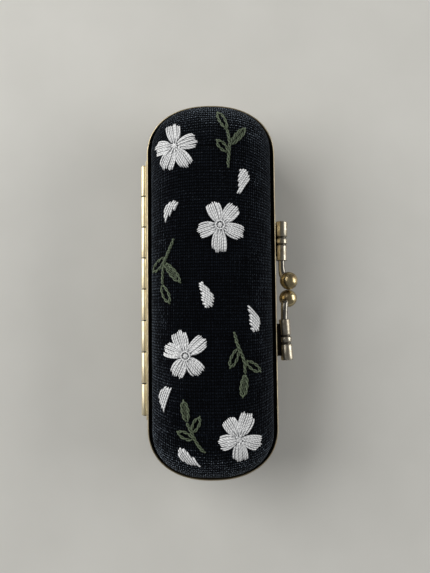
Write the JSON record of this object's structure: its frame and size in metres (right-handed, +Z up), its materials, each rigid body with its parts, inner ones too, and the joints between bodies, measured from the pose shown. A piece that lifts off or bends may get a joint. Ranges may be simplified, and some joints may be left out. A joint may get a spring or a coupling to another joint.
{
  "type": "hard glasses case",
  "caption": "Long rounded hard case for spectacles in embroidered black linen, with metal frames, a piano hinge down one side and a two-ball snap clasp on the other.",
  "frame": {"origin": "centre of the flat face that the closed case rests on", "axes": "+Z up through the lid, +Y along the case, +X towards the clasp, hinge on the -X side"},
  "size_m": [0.0692, 0.1642, 0.039],
  "materials": {
    "frame_brass": "pale lacquered brass sheet, brown-gold along its edge",
    "hinge_brass": "bright polished brass",
    "clasp_brass": "antiqued brass, polished, dark in its grooves",
    "ball_brass": "antiqued gold, polished, darker towards its stem",
    "linen": "black plain-woven linen with a blue tint",
    "lining": "natural cotton",
    "padding": "white wadding",
    "shell": "moulded",
    "paper_cord": "twisted kraft paper",
    "white_thread": "stranded cotton, slightly glossy",
    "green_thread": "stranded cotton, olive green"
  },
  "bodies": {
    "base": {"base_frame": "frame_brass", "base_shell": "shell", "base_padding": "padding", "base_cover": "linen", "base_lining": "lining", "base_filler_cord": "paper_cord", "base_hinge_leaf": "hinge_brass", "hinge_pin": "hinge_brass", "base_clasp_barrel": "clasp_brass"},
    "lid": {"lid_frame": "frame_brass", "lid_shell": "shell", "lid_padding": "padding", "lid_cover": "linen", "lid_lining": "lining", "lid_filler_cord": "paper_cord", "lid_hinge_leaf": "hinge_brass", "lid_clasp_barrel": "clasp_brass", "flower_1": "white_thread", "flower_2": "white_thread", "flower_3": "white_thread", "flower_4": "white_thread", "sprig_1": "green_thread", "sprig_2": "green_thread", "sprig_3": "green_thread", "sprig_4": "green_thread", "petal_1": "white_thread", "petal_2": "white_thread", "petal_3": "white_thread", "petal_4": "white_thread", "petal_5": "white_thread", "petal_6": "white_thread"},
    "base_clasp_arm": {"base_clasp_stem": "clasp_brass", "base_clasp_ball": "ball_brass"},
    "lid_clasp_arm": {"lid_clasp_stem": "clasp_brass", "lid_clasp_ball": "ball_brass"}
  },
  "joints": [
    {"name": "lid_hinge", "type": "hinge", "parent": "base", "child": "lid", "pos_m": [-0.02985, 0.0007, 0.0192], "axis": [0, -1, 0], "range_deg": [0, 176]},
    {"name": "base_clasp_flex", "type": "hinge", "parent": "base", "child": "base_clasp_arm", "pos_m": [0.0317, 0.0132, 0.0163], "axis": [0, 0, 1], "range_deg": [0, 3], "stiffness_Nm_per_rad": 0.3},
    {"name": "lid_clasp_flex", "type": "hinge", "parent": "lid", "child": "lid_clasp_arm", "pos_m": [0.0317, -0.0132, 0.0221], "axis": [0, 0, -1], "range_deg": [0, 3], "stiffness_Nm_per_rad": 0.3}
  ]
}
